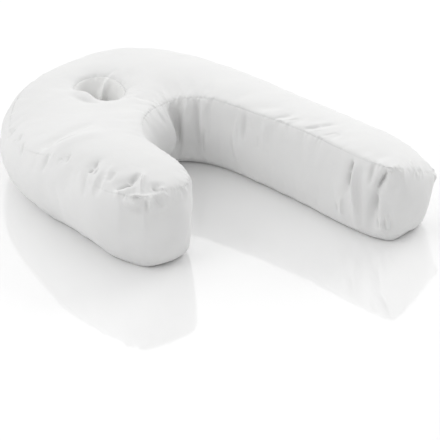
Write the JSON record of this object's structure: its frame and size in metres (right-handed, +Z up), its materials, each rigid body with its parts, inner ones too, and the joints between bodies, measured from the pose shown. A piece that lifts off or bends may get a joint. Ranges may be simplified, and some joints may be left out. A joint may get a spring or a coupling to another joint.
{
  "type": "body pillow",
  "caption": "Side-sleeper body pillow bent into a J, with a short arm, a long arm and a cloth-lined ear hole through its bend. It lies flat on its bottom panel.",
  "frame": {"origin": "centre of the bounding box in plan, on the surface that the pillow lies on", "axes": "+Z up through the pillow's thickness, +Y from the arms' open end towards the bend, the long arm on the +X side"},
  "size_m": [0.4632, 0.6618, 0.1441],
  "materials": {
    "cotton_shell": "matt, smooth white woven cotton, softly creased",
    "cotton_lining": "matt, smooth white woven cotton strip"
  },
  "bodies": {
    "root": {"pillow_body": "cotton_shell", "ear_tunnel_lining": "cotton_lining"}
  },
  "joints": []
}
